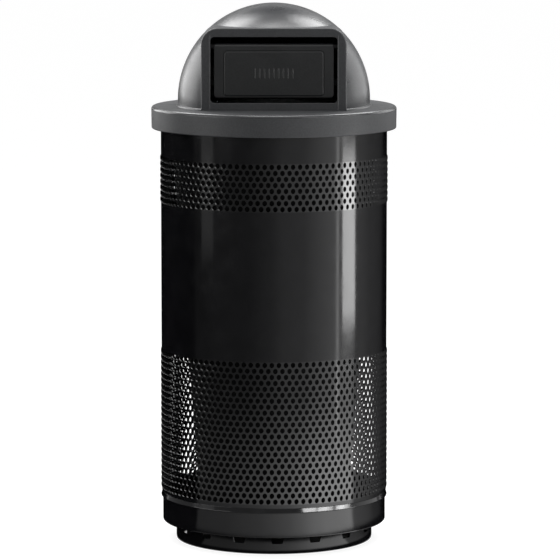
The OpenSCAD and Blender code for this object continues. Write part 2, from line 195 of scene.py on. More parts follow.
DRUM_R = drum_high.x
DRUM_WALL = 2 * MM
BRIM_R = brim_high.x
BRIM_TOP = dome_low.z
LID_WALL = 2.2 * MM
DOME_R = 198.5 * MM
DOME_Z = dome_high.z - DOME_R
HOOD_WIDTH = hood_high.x - hood_low.x
HOOD_TOP = hood_high.z
HOOD_FACE = hood_low.y
SHEET = 2 * MM
AXIS_Y = (rod_low.y + rod_high.y) / 2
AXIS_Z = (rod_low.z + rod_high.z) / 2
print(f"drum {2 * DRUM_R / MM:.0f} mm wide, brim {2 * BRIM_R / MM:.0f} mm and "
      f"{BRIM_TOP / MM:.0f} mm high")

# %% [markdown]
# ## The drum
#
# The drum is rolled from one sheet of steel that was punched flat. It is made the same way here:
# one tile of sheet with its hole, repeated along and up in staggered rows, then bent round. The
# staggered rows need a point half way along a tile's upper and lower edge, where the corners of
# the next row land.

# %% Punch one tile of sheet
HOLES_ROUND = 102
HOLE_D = 11.2 * MM
HOLE_CORNERS = 10
ROW = 12.2 * MM
PITCH = 2 * math.pi * DRUM_R / HOLES_ROUND
print(f"the holes stand {PITCH / MM:.2f} mm apart in a row, and the rows {ROW / MM:.1f} mm")


def punch(piece, height):
    """Splits a tile's upper and lower edge, and fills it again round a hole."""
    for level in (0, height):
        pick(piece, "EDGE", lambda co: abs(co.z - level) < 0.1 * MM)
        bpy.ops.mesh.subdivide(number_cuts=1)
    bpy.ops.mesh.select_all(action="SELECT")
    bpy.ops.mesh.delete(type="ONLY_FACE")
    bpy.ops.mesh.primitive_circle_add(
        vertices=HOLE_CORNERS, radius=HOLE_D / 2, fill_type="NOTHING",
        location=(0, 0, height / 2), rotation=(math.pi / 2, 0, math.pi / HOLE_CORNERS),
    )
    bpy.ops.mesh.select_all(action="SELECT")
    bpy.ops.mesh.fill(use_beauty=True)
    leave_edit()


def repeat(piece, count, step):
    """Repeats a piece in a row, a fixed step apart."""
    apply_modifier(
        piece, "ARRAY", count=count, use_relative_offset=False, use_constant_offset=True,
        constant_offset_displace=step,
    )


def band(name, z, rows):
    """Staggered rows of punched tiles, one tile wide."""
    piece = upright(name, PITCH, 0, ROW, 0)
    punch(piece, ROW)
    piece.location.z = z
    repeat(piece, 2, (PITCH / 2, 0, ROW))
    repeat(piece, rows // 2, (0, 0, 2 * ROW))
    return piece


def plain(name, z, height):
    """Sheet without holes, split down its middle so that it bends evenly."""
    piece = upright(name, PITCH, 0, height, 0)
    pick_all(piece)
    bpy.ops.mesh.bisect(plane_co=(0, 0, 0), plane_no=(1, 0, 0))
    leave_edit()
    piece.location.z = z
    return piece


# %% Stack a strip of sheet as high as the drum
LOWER_Z, LOWER_ROWS = 107.4 * MM, 24
UPPER_Z, UPPER_ROWS = 705.3 * MM, 8
lower_end = LOWER_Z + LOWER_ROWS * ROW
upper_end = UPPER_Z + UPPER_ROWS * ROW
strips = [
    plain("foot_strip", drum_low.z, LOWER_Z - drum_low.z),
    band("lower_band", LOWER_Z, LOWER_ROWS),
    plain("middle_strip", lower_end, UPPER_Z - lower_end),
    band("upper_band", UPPER_Z, UPPER_ROWS),
    plain("top_strip", upper_end, drum_high.z - upper_end),
]
join(*strips)
drum = bpy.context.object
drum.name = "drum_sheet"
bpy.ops.object.transform_apply(location=True)
print(f"strip of {len(drum.data.polygons)} faces, {LOWER_ROWS + UPPER_ROWS} rows of holes")

# %% [markdown]
# The strip is repeated all round and bent with a Simple Deform. The lengths are chosen so that
# the sheet's two ends meet at the back, and the turn is a little over a full one because every
# second row stands half a hole further along.

# %% Roll the sheet
FRONT_SHIFT = 2.7 * MM
sheet_length = HOLES_ROUND * PITCH
repeat(drum, HOLES_ROUND, (PITCH, 0, 0))
pick_all(drum)
bpy.ops.transform.translate(value=(FRONT_SHIFT - sheet_length / 2, 0, 0))
leave_edit()

# A rolled sheet doesn't close quite true. The dots of daylight that show through both walls tell
# by how much: towards the back the columns creep on a little and the rows sink.
CREEP, SINK = 3.6 * MM, 1.5 * MM
for vertex in drum.data.vertices:
    towards_back = 1 - math.cos(vertex.co.x / DRUM_R)
    if drum_low.z + 1 * MM < vertex.co.z < drum_high.z - 1 * MM:
        vertex.co.z -= SINK * towards_back
    vertex.co.x += CREEP * towards_back

span = [v.co.x for v in drum.data.vertices]
turn = 2 * math.pi * (max(span) - min(span)) / sheet_length
apply_modifier(drum, "SIMPLE_DEFORM", deform_method="BEND", deform_axis="Z", angle=turn)
pick_all(drum)
bpy.ops.transform.translate(value=(0, -DRUM_R, 0))
merge_doubles(drum)
apply_modifier(
    drum, "SOLIDIFY", thickness=DRUM_WALL, offset=-1, material_offset=1, material_offset_rim=1
)
settle(drum, 40)
BANDS = ((LOWER_Z, lower_end), (UPPER_Z, upper_end))
for face in drum.data.polygons:
    if face.material_index == 0 and any(low < face.center.z < high for low, high in BANDS):
        face.material_index = 2

# %% [markdown]
# ## Spun and rolled rings
#
# A hoop, a brim or a skirt is round, so its section is drawn once, vertex by vertex, and spun
# about the middle. A sheet is drawn as its outer line and gets its wall from Solidify.

# %% Spin a section
SPIN_STEPS = 192


def arc(centre, radius, start, end, steps):
    """Points (r, z) on an arc, with angles in degrees."""
    turns = [math.radians(start + (end - start) * i / steps) for i in range(steps + 1)]
    return [(centre[0] + radius * math.cos(a), centre[1] + radius * math.sin(a)) for a in turns]


def spun(name, section, wall=0, closed=False):
    """Draws a section of (r, z) points and spins it, with the wall inside the line."""
    deselect()
    bpy.ops.mesh.primitive_plane_add(size=1 * MM)
    piece = made(name)
    pick_all(piece)
    bpy.ops.mesh.merge(type="CENTER")
    bpy.ops.transform.translate(value=(section[0][0], 0, section[0][1]))
    for (r0, z0), (r1, z1) in zip(section, section[1:]):
        bpy.ops.mesh.extrude_region_move(TRANSFORM_OT_translate={"value": (r1 - r0, 0, z1 - z0)})
    bpy.ops.mesh.select_all(action="SELECT")
    if closed:
        bpy.ops.mesh.remove_doubles(threshold=WELD)
    bpy.ops.mesh.spin(steps=SPIN_STEPS, angle=2 * math.pi, center=(0, 0, 0), axis=(0, 0, 1))
    merge_doubles(piece)
    if wall:
        apply_modifier(piece, "SOLIDIFY", thickness=wall, offset=-1, use_even_offset=True)
    settle(piece)
    return piece


# %% [markdown]
# ## The base
#
# The drum stands over a spun skirt. A flared hoop closes the joint: its slanted side mirrors what
# stands low over the horizon, so it shows as the brightest line at the foot of the bin. The hoop
# could be a swept profile along a circle, but a spun section keeps its round lower edge exact.

# %% Trim hoop and skirt
hoop_low, hoop_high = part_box("trim_hoop")
skirt_low, skirt_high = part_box("base_skirt")
SKIRT_R = skirt_high.x
SKIRT_BEND, SKIRT_LEDGE = 3 * MM, 22 * MM
HOOP_TOP_W = 1.2 * MM
hoop_in = SKIRT_R + 0.2 * MM
nose = (hoop_high.x - SKIRT_R) / 2
trim_hoop = spun(
    "trim_hoop_rolled",
    [(hoop_in, hoop_high.z), (hoop_in, hoop_low.z)]
    + arc((hoop_high.x - nose, hoop_low.z + nose), nose, -90, 20, 8)
    + [(hoop_in + HOOP_TOP_W, hoop_high.z), (hoop_in, hoop_high.z)],
    closed=True,
)
base_skirt = spun(
    "base_skirt_spun",
    [(SKIRT_R, skirt_high.z)]
    + arc((SKIRT_R - SKIRT_BEND, skirt_low.z + SKIRT_BEND), SKIRT_BEND, 0, -90, 8)
    + [(SKIRT_R - SKIRT_LEDGE, skirt_low.z)],
    wall=SHEET,
)

# %% [markdown]
# The ring foot is narrower, so it stays in shadow. Its vents let air and water out. They could be
# left out of the spun section one by one, but it is quicker and cleaner to cut all sixteen out of
# the upper edge with one tapered block that is copied round.

# %% Ring foot
_, foot_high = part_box("ring_foot")
FOOT_R = foot_high.x
FOOT_WALL, FOOT_LEDGE = 3 * MM, 14 * MM
SHOULDER_R, TOE_R = 3.5 * MM, 1 * MM
VENTS = 16
VENT_TURN = 2  # degrees
VENT_TOP, VENT_BOTTOM, VENT_DEPTH = 33 * MM, 21 * MM, 19 * MM
ring_foot = spun(
    "ring_foot_pressed",
    [(FOOT_R - SHOULDER_R, foot_high.z)]
    + arc((FOOT_R - SHOULDER_R, foot_high.z - SHOULDER_R), SHOULDER_R, 90, 0, 8)
    + arc((FOOT_R - TOE_R, TOE_R), TOE_R, 0, -90, 4)
    + [(FOOT_R - FOOT_LEDGE, 0)],
    wall=FOOT_WALL,
)


def vent_cutter(past=2 * MM):
    """A tapered block through the front of the ring foot, copied to every vent."""
    deselect()
    middle = foot_high.z - VENT_DEPTH / 2
    bpy.ops.mesh.primitive_cube_add(size=1, location=(0, -FOOT_R, middle + past))
    cutter = made("vents", (VENT_TOP, 40 * MM, VENT_DEPTH + 2 * past))
    pick(cutter, "FACE", lambda co: co.z < middle)
    bpy.ops.transform.resize(value=(VENT_BOTTOM / VENT_TOP, 1, 1))
    bpy.ops.mesh.select_all(action="SELECT")
    bpy.ops.transform.rotate(
        value=-math.radians(VENT_TURN), orient_axis="Z", center_override=(0, 0, 0)
    )
    bpy.ops.mesh.spin(
        steps=VENTS, dupli=True, angle=2 * math.pi, center=(0, 0, 0), axis=(0, 0, 1)
    )
    merge_doubles(cutter)
    return cutter


cut(ring_foot, vent_cutter())
settle(ring_foot)

# %% [markdown]
# ## The lid
#
# The brim is spun from one sheet: a flat top, a round edge, a skirt that draws in a little and a
# rolled hem at its foot. The flat top starts far enough in to carry the shelf under the hood.

# %% Brim
HEM_R, EDGE_R = 2 * MM, 6 * MM
TOP_STARTS = 100 * MM
hem_x, hem_z = BRIM_R - 0.5 * MM - HEM_R, brim_low.z + HEM_R
brim = spun(
    "lid_brim_spun",
    [(TOP_STARTS, BRIM_TOP)]
    + arc((BRIM_R - EDGE_R, BRIM_TOP - EDGE_R), EDGE_R, 90, 0, 8)
    + arc((hem_x, hem_z), HEM_R, 0, -200, 8),
    wall=LID_WALL,
)

# %% [markdown]
# The brim's hole is not round: under the hood the brim runs on as a shelf, so the cutter is a
# cylinder with its front sliced off. A collar stands round the hole, and the dome drops over it.
# The collar only stands where the dome does.

# %% Cut the brim and add its collar
SHELF_Y = HOOD_FACE + 16 * MM
COLLAR_END_Y = HOOD_FACE + 6 * MM
COLLAR_H = 10 * MM
inside_dome = math.sqrt((DOME_R - SHEET) ** 2 - (DOME_Z - BRIM_TOP) ** 2)
COLLAR_R = inside_dome - 0.2 * MM
BACKWARDS, UPWARDS = (0, 1, 0), (0, 0, 1)
deselect()
bpy.ops.mesh.primitive_cylinder_add(
    vertices=SPIN_STEPS, radius=COLLAR_R - LID_WALL, depth=20 * MM, location=(0, 0, BRIM_TOP)
)
throat = made("throat")
slice_off(throat, (0, SHELF_Y, 0), BACKWARDS, fill=True)
cut(brim, throat)

collar_top = BRIM_TOP + COLLAR_H
collar = spun(
    "collar",
    [(COLLAR_R - LID_WALL, BRIM_TOP), (COLLAR_R, BRIM_TOP), (COLLAR_R, collar_top),
     (COLLAR_R - LID_WALL, collar_top), (COLLAR_R - LID_WALL, BRIM_TOP)],
    closed=True,
)
slice_off(collar, (0, COLLAR_END_Y, 0), BACKWARDS, fill=True)
join(brim, collar)
settle(brim)
for face in brim.data.polygons:
    across = math.hypot(face.center.x, face.center.y)
    if across > BRIM_R - EDGE_R and face.center.z > BRIM_TOP - EDGE_R:
        face.material_index = 1

# %% [markdown]
# The dome is a half ball that is spun from sheet. The hood runs into it, so the ball is open
# inside the hood. Both share one outline, an arch that is drawn as a rectangle whose upper corners
# are rounded. A ball primitive, sliced level with the brim, has the right curve at once. The arch
# then cuts its opening.

# %% The arch that hood and dome share
HOOD_CORNER = 35 * MM


def arch(name, inset, y=HOOD_FACE, depth=0):
    """The hood's outline, drawn in by an inset, as a flat face or a block from y back."""
    low, high = BRIM_TOP - 5 * MM, HOOD_TOP - inset
    piece = upright(name, HOOD_WIDTH - 2 * inset, low, high, y)
    pick(piece, "VERT", lambda co: co.z > high - 1 * MM)
    bpy.ops.mesh.bevel(offset=HOOD_CORNER - inset, segments=12, affect="VERTICES")
    if depth:
        bpy.ops.mesh.select_all(action="SELECT")
        bpy.ops.mesh.extrude_region_move(TRANSFORM_OT_translate={"value": (0, depth, 0)})
        merge_doubles(piece)
    leave_edit()
    return piece


def ball(name, radius):
    """A ball about the dome's centre."""
    deselect()
    bpy.ops.mesh.primitive_uv_sphere_add(
        segments=SPIN_STEPS, ring_count=SPIN_STEPS // 2, radius=radius, location=(0, 0, DOME_Z)
    )
    return made(name)


# %% Dome
CUT_FROM, CUT_DEPTH = -300 * MM, 270 * MM
dome = ball("dome_spun", DOME_R)
slice_off(dome, (0, 0, BRIM_TOP), UPWARDS)
apply_modifier(dome, "SOLIDIFY", thickness=SHEET, offset=-1)
cut(dome, arch("inside_of_hood", SHEET, CUT_FROM, CUT_DEPTH))
print(f"{dome.name} of {len(dome.data.polygons)} faces")

# %% Weld bead round the dome's foot
BEAD_W = 4 * MM
foot_of_dome = math.sqrt(DOME_R ** 2 - (DOME_Z - BRIM_TOP) ** 2)
bead_in, bead_z = foot_of_dome - 1 * MM, BRIM_TOP + 0.1 * MM
bead = spun(
    "bead",
    [(bead_in, bead_z)]
    + arc((foot_of_dome, bead_z), BEAD_W, 0, 90, 6)
    + [(bead_in, BRIM_TOP + BEAD_W), (bead_in, bead_z)],
    closed=True,
)
cut(bead, arch("outside_of_hood", 0, CUT_FROM, CUT_DEPTH))
join(dome, bead)
settle(dome)

# %% [markdown]
# ## The hood
#
# The hood is one sheet: a face with the opening, folded back at its sides and top. Its folds have
# a small radius, and so has the lip round the opening. Each shows in the photograph as a fine
# light line, so they are real bends here and not sharp edges. A block with a hole cut in it would
# be quicker, but its edges couldn't be folded.

# %% Face of the hood with its opening
MOUTH_W, MOUTH_R = HOOD_WIDTH - 38 * MM, 8 * MM
MOUTH_LOW, MOUTH_HIGH = BRIM_TOP + 15.5 * MM, HOOD_TOP - 18.5 * MM
hood = arch("hood_folded", 0)
slice_off(hood, (0, 0, BRIM_TOP), UPWARDS)
outline_of(hood)


def rounded(name, width, low, high, radius, y, x=0):
    """A flat face in the XZ plane with round corners."""
    piece = upright(name, width, low, high, y, x)
    pick_all(piece)
    bpy.ops.mesh.bevel(offset=radius, segments=6, affect="VERTICES")
    leave_edit()
    return piece


def fill_between(piece, inner):
    """Joins an inner outline to a piece's outline and fills the face between the two."""
    join(piece, outline_of(inner))
    pick_all(piece, "EDGE")
    bpy.ops.mesh.fill(use_beauty=True)
    leave_edit()


fill_between(hood, rounded("mouth", MOUTH_W, MOUTH_LOW, MOUTH_HIGH, MOUTH_R, HOOD_FACE))
print(f"opening {MOUTH_W / MM:.0f} x {(MOUTH_HIGH - MOUTH_LOW) / MM:.0f} mm")

# %% Fold the hood back and trim it to the dome
HOOD_DEPTH, LIP = 124 * MM, 4 * MM
HOOD_BEND, LIP_BEND = 3 * MM, 1.2 * MM


def in_mouth(co, spare=1 * MM):
    """Inside the opening or on its edge."""
    return abs(co.x) < MOUTH_W / 2 + spare and MOUTH_LOW - spare < co.z < MOUTH_HIGH + spare


def on_outline(co):
    """On the hood's sides or top, but not on its lower edge."""
    return not in_mouth(co) and co.z > BRIM_TOP + 0.1 * MM


def select_edges(piece, chosen):
    """Leaves just these edges selected, with the piece in edit mode."""
    mesh = piece.data
    for element in (*mesh.vertices, *mesh.edges, *mesh.polygons):
        element.select = False
    for edge in chosen:
        edge.select = True
        for i in edge.vertices:
            mesh.vertices[i].select = True
    bpy.ops.object.mode_set(mode="EDIT")


def face_front(piece):
    """Turns an open sheet's faces so that its front looks at -Y."""
    largest = max(piece.data.polygons, key=lambda face: face.area * abs(face.normal.y))
    if largest.normal.y > 0:
        pick_all(piece, "FACE")
        bpy.ops.mesh.flip_normals()
        leave_edit()


def middle_of(piece, edge):
    """The point half way along an edge."""
    a, b = (piece.data.vertices[i].co for i in edge.vertices)
    return (a + b) / 2


def pick_open_edges(piece, where):
    """Selects the open edges whose middle lies where the test says."""
    pick(piece, "EDGE")
    bpy.ops.mesh.select_non_manifold()
    leave_edit()
    select_edges(piece, [e for e in piece.data.edges if e.select and where(middle_of(piece, e))])


def bevel_fold(piece, y, where, width, segments):
    """Rounds the fold that lies at y where the test says."""
    pick(piece, "EDGE")
    leave_edit()
    sides = {}
    for face in piece.data.polygons:
        for key in face.edge_keys:
            sides.setdefault(key, []).append(face.normal)

    def is_fold(edge):
        normals = sides.get(edge.key, [])
        folded = len(normals) == 2 and normals[0].dot(normals[1]) < 0.5
        flat = all(abs(piece.data.vertices[i].co.y - y) < WELD for i in edge.vertices)
        return folded and flat and where(middle_of(piece, edge))

    select_edges(piece, [edge for edge in piece.data.edges if is_fold(edge)])
    bpy.ops.mesh.bevel(offset=width, segments=segments, affect="EDGES")
    leave_edit()


def extrude_open(piece, where, move):
    """Draws a new wall from the open edges that lie where the test says."""
    pick_open_edges(piece, where)
    bpy.ops.mesh.extrude_region_move(TRANSFORM_OT_translate={"value": move})
    leave_edit()


extrude_open(hood, on_outline, (0, HOOD_DEPTH, 0))
extrude_open(hood, lambda co: in_mouth(co) and co.y < HOOD_FACE + 0.1 * MM, (0, LIP, 0))
merge_doubles(hood)
face_front(hood)
bevel_fold(hood, HOOD_FACE, on_outline, HOOD_BEND, 4)
bevel_fold(hood, HOOD_FACE, in_mouth, LIP_BEND, 3)
apply_modifier(hood, "SOLIDIFY", thickness=SHEET, offset=-1, use_even_offset=True)

inside = ball("inside_of_dome", DOME_R + 0.2 * MM)
slice_off(inside, (0, HOOD_FACE + 5 * MM, 0), BACKWARDS, fill=True)
cut(hood, inside)
print(f"{hood.name} of {len(hood.data.polygons)} faces")

# %% [markdown]
# A half-round bead stiffens the sheet on each side of the opening, as far down as the brim. It
# could be pressed into the face with an inset, but a thin rod that is sunk into the sheet shows
# the same and leaves the face alone.

# %% Beads beside the opening
HOOD_BEAD_R, PROUD = 1.5 * MM, 1.2 * MM
bead_low, bead_high = BRIM_TOP + 0.5 * MM, MOUTH_HIGH + 3 * MM
bead_y = HOOD_FACE - PROUD + HOOD_BEAD_R
beads = []
for side in (-1, 1):
    deselect()
    bpy.ops.mesh.primitive_cylinder_add(
        vertices=16, radius=HOOD_BEAD_R, depth=bead_high - bead_low,
        location=(side * (MOUTH_W / 2 + HOOD_BEAD_R), bead_y, (bead_low + bead_high) / 2),
    )
    beads.append(made("bead_beside_opening"))
join(hood, *beads)
settle(hood)

# %% [markdown]
# ## The push door
#
# The door is pressed from sheet: edges turned in, a raised panel inside a groove, and a top edge
# rolled round the hinge rod. It is made in the same order as in a press shop: a flat blank, the
# groove and the panel, the turned-in edges, and last the roll, which is a spin about the rod.

# %% Flat blank of the door
DOOR_R = 7 * MM
DOOR_W = MOUTH_W - 14.4 * MM
DOOR_LOW = door_low.z
DOOR_FRONT = AXIS_Y - 6.5 * MM
door = upright("door_pressed", DOOR_W, DOOR_LOW, AXIS_Z, DOOR_FRONT)
pick(door, "VERT", lambda co: co.z < DOOR_LOW + 1 * MM)
bpy.ops.mesh.bevel(offset=DOOR_R, segments=8, affect="VERTICES")
leave_edit()
outline_of(door)

PANEL_W = DOOR_W - 44 * MM
PANEL_LOW, PANEL_HIGH = DOOR_LOW + 5.3 * MM, AXIS_Z - 10.4 * MM
GROOVE, GROOVE_R = 3 * MM, 8 * MM
outer_edge = (
    PANEL_W + 2 * GROOVE, PANEL_LOW - GROOVE, PANEL_HIGH + GROOVE, GROOVE_R, DOOR_FRONT
)
fill_between(door, rounded("groove_edge", *outer_edge))
print(f"door blank {DOOR_W / MM:.0f} mm wide, panel {PANEL_W / MM:.0f} mm")

# %% Press the groove and the panel
# Each step goes inwards and then out by a number of millimetres, down into the groove and up.
PRESS_STEPS = ((0.9, -1.0), (0.7, 0), (1.2, 1.3), (1.4, 0.9))


def press(piece, steps):
    """Insets a flat face step by step."""
    pick_all(piece, "FACE")
    for inwards, rise in steps:
        bpy.ops.mesh.inset(thickness=inwards * MM, depth=rise * MM)
    leave_edit()


panel = rounded("panel", *outer_edge)
press(panel, PRESS_STEPS)
join(door, panel)
merge_doubles(door)
print(f"panel stands {sum(rise for _, rise in PRESS_STEPS):.1f} mm proud of the door")

# %% Turn the edges in and roll the top round the rod
DOOR_EDGE, DOOR_BEND = 14 * MM, 2 * MM
ROLL_TURN = 300  # degrees
extrude_open(door, lambda co: co.z < AXIS_Z - 0.1 * MM, (0, DOOR_EDGE, 0))
bevel_fold(door, DOOR_FRONT, lambda co: co.z < AXIS_Z, DOOR_BEND, 4)
pick_open_edges(
    door, lambda co: abs(co.z - AXIS_Z) < 0.1 * MM and abs(co.y - DOOR_FRONT) < 0.1 * MM
)
bpy.ops.mesh.spin(
    steps=20, angle=math.radians(ROLL_TURN), center=(0, AXIS_Y, AXIS_Z), axis=(1, 0, 0)
)
leave_edit()
merge_doubles(door)
face_front(door)
apply_modifier(door, "SOLIDIFY", thickness=SHEET, offset=-1, use_even_offset=True)
print(f"{door.name} of {len(door.data.polygons)} faces")

# %% [markdown]
# Hands push the door at its middle, so that place is raised. It has a row of plain ribs here: one
# is pressed, and an array repeats it. On each side a stop tab reaches behind the hood's face,
# where it meets a rubber bumper and keeps the door from swinging outwards.

# %% Ribs and stop tabs
RIBS, RIB_STEP = 9, 9.6 * MM
RIB_W, RIB_H, RIB_R = 3.4 * MM, 21 * MM, 1.6 * MM
RIB_Z = DOOR_LOW + 49.5 * MM
PANEL_FRONT = DOOR_FRONT - 1.2 * MM
ribs = rounded(
    "ribs", RIB_W, RIB_Z - RIB_H / 2, RIB_Z + RIB_H / 2, RIB_R, PANEL_FRONT + 0.1 * MM,
    x=-(RIBS - 1) / 2 * RIB_STEP,
)
press(ribs, ((0.5, 0.6), (0.6, 0.3)))
repeat(ribs, RIBS, (RIB_STEP, 0, 0))

TAB_END, TAB_H, TAB_T, TAB_R = 144 * MM, 14 * MM, 2 * MM, 3 * MM
TAB_Y, TAB_Z = DOOR_FRONT + 9.5 * MM, DOOR_LOW + 24 * MM
inner = DOOR_W / 2 - 1 * MM
tabs = []
for side in (-1, 1):
    deselect()
    bpy.ops.mesh.primitive_cube_add(
        size=1, location=(side * (inner + TAB_END) / 2, TAB_Y + TAB_T / 2, TAB_Z + TAB_H / 2)
    )
    tab = made("stop_tab", (TAB_END - inner, TAB_T, TAB_H))
    pick(tab, "EDGE", lambda co: abs(co.x) > TAB_END - 1 * MM)
    leave_edit()
    select_edges(tab, [
        edge for edge in tab.data.edges
        if edge.select and abs(middle_of(tab, edge).y - TAB_Y - TAB_T / 2) < 0.1 * MM
    ])
    bpy.ops.mesh.bevel(offset=TAB_R, segments=4, affect="EDGES")
    leave_edit()
    tabs.append(tab)
join(door, ribs, *tabs)
settle(door)
# The tabs' ends take the black rubber finish: painted shade, so that they stay dark in the gaps
# beside the door.
for face in door.data.polygons:
    if abs(face.center.x) > DOOR_W / 2 + 0.5 * MM:
        face.material_index = 1

# %% [markdown]
# ## Finishes
#
# Each finish starts from what the real one is. The drum and the foot have a gloss black powder
# coat, which is smooth but never quite flat: its slow waves, called orange peel, are what make a
# reflection's edge wander. The lid has a charcoal powder coat with a fine grain and a satin sheen.
# Colours are written as they show on a screen, and one function turns them into the linear values
# that shaders work with.

# %% Colour and node helpers
def to_linear(colour):
    """An sRGB hex colour as the linear values that a shader takes."""
    parts = [int(colour[i : i + 2], 16) / 255 for i in (1, 3, 5)]
    return tuple(c / 12.92 if c <= 0.04045 else ((c + 0.055) / 1.055) ** 2.4 for c in parts) + (1,)


def add_node(tree, kind, inputs=(), **settings):
    """Adds a node, sets its properties, and sets or links its inputs."""
    added = tree.nodes.new(kind)
    for name, value in settings.items():
        setattr(added, name, value)
    for name, value in dict(inputs).items():
        if isinstance(value, bpy.types.NodeSocket):
            tree.links.new(value, added.inputs[name])
        else:
            added.inputs[name].default_value = value
    return added


def new_material(name):
    """A material with its node tree."""
    print("material:", name)
    material = bpy.data.materials.new(name)
    material.use_nodes = True
    return material, material.node_tree


# %% [markdown]
# No coat is quite even. In each finish three things drift from place to place: its colour, its
# roughness and its relief. Cloudy noise drives all three, with spots whose size in millimetres is
# the real one where that still shows. A photograph of the surface could be wrapped round instead,
# but noise has no seams and no end.

# %% A finish that drifts
CLOUD_LOW, CLOUD_HIGH = 0.3, 0.7  # nearly all of a noise lies between these


def drifting(name, colour, roughness, relief, radial=False, **values):
    """A material whose colour, roughness and relief follow cloudy noise.

    Colour and roughness are (from, to, noise), relief is (depth in millimetres, noise), and a
    noise is (size of its spots in millimetres, detail)."""
    material, tree = new_material(name)
    shader = tree.nodes["Principled BSDF"]
    for socket, value in values.items():
        shader.inputs[socket.replace("_", " ")].default_value = value
    place = add_node(tree, "ShaderNodeTexCoord").outputs["Object"]
    in_mm = add_node(tree, "ShaderNodeVectorMath", {0: place, "Scale": 1 / MM}, operation="SCALE")
    space = in_mm.outputs["Vector"]

    clouds = {}
    for size_mm, detail in dict.fromkeys((colour[-1], roughness[-1], relief[-1])):
        cloud = add_node(
            tree, "ShaderNodeTexNoise", {"Vector": space, "Scale": 1 / size_mm, "Detail": detail}
        )
        clouds[size_mm, detail] = cloud.outputs["Fac"]

    dark, light, noise = colour
    share = add_node(
        tree, "ShaderNodeMapRange",
        {"Value": clouds[noise], "From Min": CLOUD_LOW, "From Max": CLOUD_HIGH},
    )
    blend = add_node(
        tree, "ShaderNodeMix",
        {"Factor": share.outputs["Result"], 6: to_linear(dark), 7: to_linear(light)},
        data_type="RGBA",
    )
    smooth, rough, noise = roughness
    wear = add_node(
        tree, "ShaderNodeMapRange",
        {"Value": clouds[noise], "From Min": CLOUD_LOW, "From Max": CLOUD_HIGH, "To Min": smooth,
         "To Max": rough},
    )
    depth_mm, noise = relief
    waves = {"Height": clouds[noise], "Distance": depth_mm * MM, "Strength": 1.0}
    if radial:
        # A rolled sheet curves smoothly, and this drum's flat facets would show in its gloss. So
        # the outside takes its direction from where it is on the drum.
        flat = add_node(
            tree, "ShaderNodeVectorMath", {0: space, 1: (1, 1, 0)}, operation="MULTIPLY"
        )
        outwards = add_node(
            tree, "ShaderNodeVectorTransform", {"Vector": flat.outputs["Vector"]},
            vector_type="NORMAL", convert_from="OBJECT", convert_to="WORLD",
        )
        waves["Normal"] = outwards.outputs["Vector"]
    raised = add_node(tree, "ShaderNodeBump", waves)
    tree.links.new(blend.outputs[2], shader.inputs["Base Color"])
    tree.links.new(wear.outputs["Result"], shader.inputs["Roughness"])
    tree.links.new(raised.outputs["Normal"], shader.inputs["Normal"])
    return material


# %% Gloss black powder coat
# Polyester powder coat over steel: its resin has an IOR near 1.5 and it cures to a gloss skin
# that mirrors softly. Real orange peel waves are 1 to 3 mm long. They are drawn at 9 mm, so that
# they still show, and a thin veil of dust dulls the skin in places.
DUST, PEEL = (34, 4), (9, 2)  # size in millimetres, detail


def gloss_coat(name, ior=1.5, radial=False):
    """A gloss coat. A radial one takes its direction from where it is on the drum."""
    return drifting(
        name, ("#0e0e10", "#131315", DUST), (0.08, 0.13, DUST), (0.02, PEEL), radial, IOR=ior
    )


gloss_black = gloss_coat("gloss black powder coat on rolled steel", radial=True)
# Round a punched hole the coat rolls over the edge and catches the sky, which flat sheet doesn't.
# The narrow webs between the holes stand for that with a stronger sheen.
gloss_webs = gloss_coat("gloss black powder coat round the holes", 1.7, radial=True)
gloss_rings = gloss_coat("gloss black powder coat on spun steel")

# %% Satin charcoal powder coat
# A fine textured powder: its grain scatters a highlight into a soft sheen. The real grain is
# about 0.3 mm, and it is drawn at 3 mm so that it still shows. Patches of about 40 mm, where
# hands and cloths have rubbed, are a little smoother or duller.
GRAIN, PATCH = (3.2, 3), (38, 3)


def satin_coat(name, dark, light, roughness):
    """A fine textured coat between two close colours."""
    patchy = (roughness - 0.04, roughness + 0.05, PATCH)
    return drifting(name, (dark, light, GRAIN), patchy, (0.12, GRAIN), IOR=1.5)


# The brim's flat top is duller than the ball, and its edge is rubbed smooth by hands. The door's
# colour is painted darker than the hood's: painted shade for the hood's shadow that it hangs in.
satin_charcoal = satin_coat("satin charcoal powder coat", "#2f3032", "#3c3d3f", 0.30)
brim_charcoal = satin_coat("satin charcoal powder coat on the brim", "#303133", "#3d3e40", 0.48)
edge_charcoal = satin_coat("charcoal powder coat rubbed smooth", "#2f3032", "#3c3d3f", 0.22)
face_charcoal = satin_coat("satin charcoal powder coat on the hood", "#323335", "#3d3e40", 0.36)
door_charcoal_painted_shade = satin_coat("satin charcoal powder coat on the door", "#161718", "#1f2021", 0.36)

# %% Plastic, nylon, rubber and the dark inside
# Rotomoulded polyethylene has a dull, slightly pebbled skin, moulded nylon is a little smoother,
# and rubber is the dullest. The drum's inside is coated thinly and matt. Real pebbles are finer
# than 1 mm, and they are drawn at 2 to 6 mm so that they show.
def moulded(name, dark, light, roughness, grain_mm, depth_mm, specular):
    """A moulded material: an even colour with fine mottling and a fine skin."""
    skin = (grain_mm, 3)
    mottled = (roughness - 0.05, roughness + 0.05, skin)
    return drifting(
        name, (dark, light, skin), mottled, (depth_mm, skin), IOR=1.5, Specular_IOR_Level=specular
    )


black_polyethylene = moulded(
    "rotomoulded black polyethylene", "#060607", "#0c0c0d", 0.7, 5, 0.15, specular=0.1
)
black_nylon = moulded("moulded black nylon", "#08080a", "#0f0f10", 0.6, 3, 0.05, specular=0.2)
black_rubber_also_tab_shade = moulded("moulded black rubber", "#080808", "#101010", 0.75, 2, 0.05, specular=0.2)
matt_black = moulded(
    "matt black coat inside the drum", "#040405", "#090909", 0.7, 6, 0.1, specular=0.0
)

